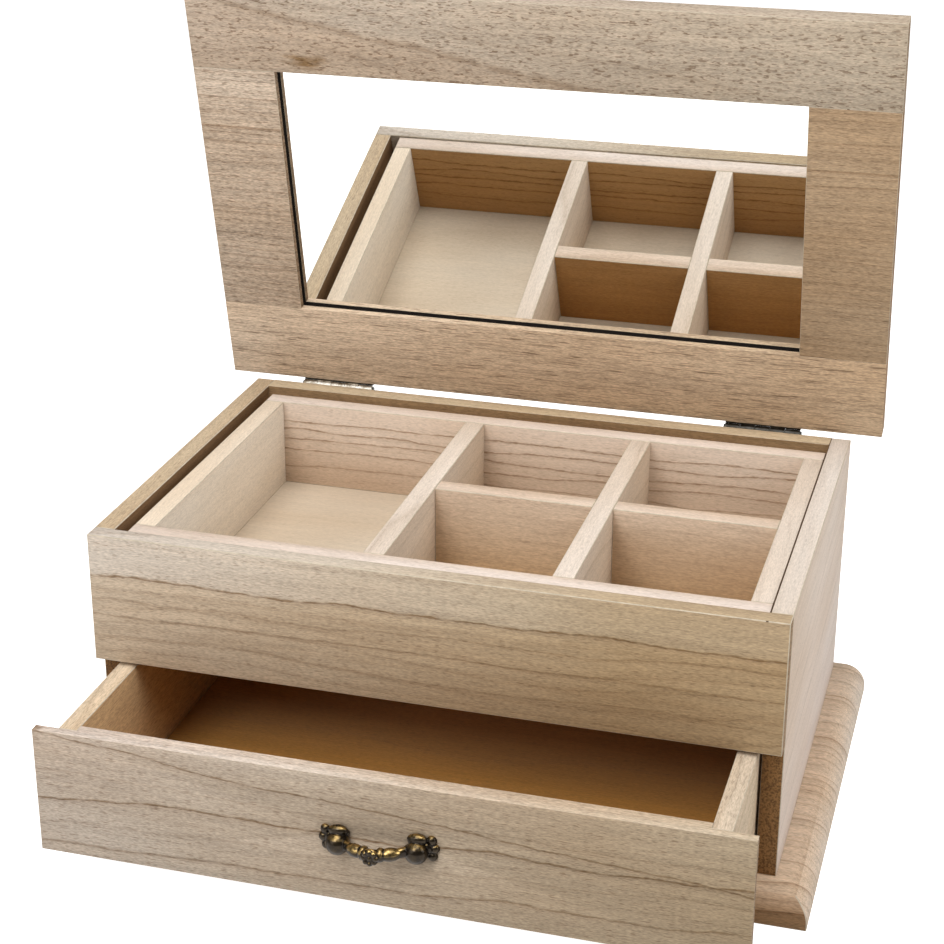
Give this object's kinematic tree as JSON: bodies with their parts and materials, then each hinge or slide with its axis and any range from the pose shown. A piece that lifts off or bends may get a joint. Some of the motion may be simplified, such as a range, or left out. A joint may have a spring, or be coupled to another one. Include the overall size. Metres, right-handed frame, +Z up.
{
  "type": "vanity box with mirror",
  "caption": "Wooden vanity box with a hinged mirror lid, a loose divided tray below it and a drawer with a cast pull; raw pale wood on a rounded base.",
  "frame": {"origin": "middle of the underside of the base board", "axes": "+Z up, -Y towards the front with the drawer, +X to the right seen from the front"},
  "size_m": [0.32, 0.2777, 0.3295],
  "materials": {
    "pale_wood": "raw, sanded, matte, open pored",
    "base_wood": "raw, sanded, matte, rounded edge",
    "thin_board": "raw thin board",
    "hinge_steel": "plated steel, worn",
    "screw_steel": "plain steel",
    "dark_bronze": "cast, dark antique bronze with rubbed highlights",
    "mirror_glass": "silvered glass"
  },
  "bodies": {
    "case": {"base_board": "base_wood", "left_side": "pale_wood", "right_side": "pale_wood", "back_panel": "pale_wood", "front_panel": "pale_wood", "shelf": "pale_wood", "hinge_left_case_leaf": "hinge_steel", "hinge_right_case_leaf": "hinge_steel", "hinge_pins": "hinge_steel", "case_hinge_screws": "screw_steel"},
    "lid": {"lid_front_rail": "pale_wood", "lid_back_rail": "pale_wood", "lid_left_stile": "pale_wood", "lid_right_stile": "pale_wood", "lid_backing": "thin_board", "mirror": "mirror_glass", "hinge_left_lid_leaf": "hinge_steel", "hinge_right_lid_leaf": "hinge_steel", "lid_hinge_screws": "screw_steel"},
    "drawer": {"drawer_front": "pale_wood", "drawer_left_side": "pale_wood", "drawer_right_side": "pale_wood", "drawer_back": "pale_wood", "drawer_bottom": "thin_board", "drawer_pull": "dark_bronze", "pull_screws": "screw_steel"},
    "tray": {"tray_front_wall": "pale_wood", "tray_back_wall": "pale_wood", "tray_left_wall": "pale_wood", "tray_right_wall": "pale_wood", "tray_floor": "thin_board", "tray_main_divider": "pale_wood", "tray_small_divider": "pale_wood", "tray_cross_left": "pale_wood", "tray_cross_right": "pale_wood"}
  },
  "joints": [
    {"name": "lid_hinge", "type": "hinge", "parent": "case", "child": "lid", "pos_m": [0, 0.1003, 0.1294], "axis": [-1, 0, 0], "range_deg": [-78.1, 101.9]},
    {"name": "drawer_slide", "type": "slide", "parent": "case", "child": "drawer", "axis": [0, -1, 0], "range_m": [-0.0629, 0.08]},
    {"name": "tray_slide", "type": "slide", "parent": "case", "child": "tray", "axis": [0, 1, 0], "range_m": [0, 0.0077]}
  ]
}
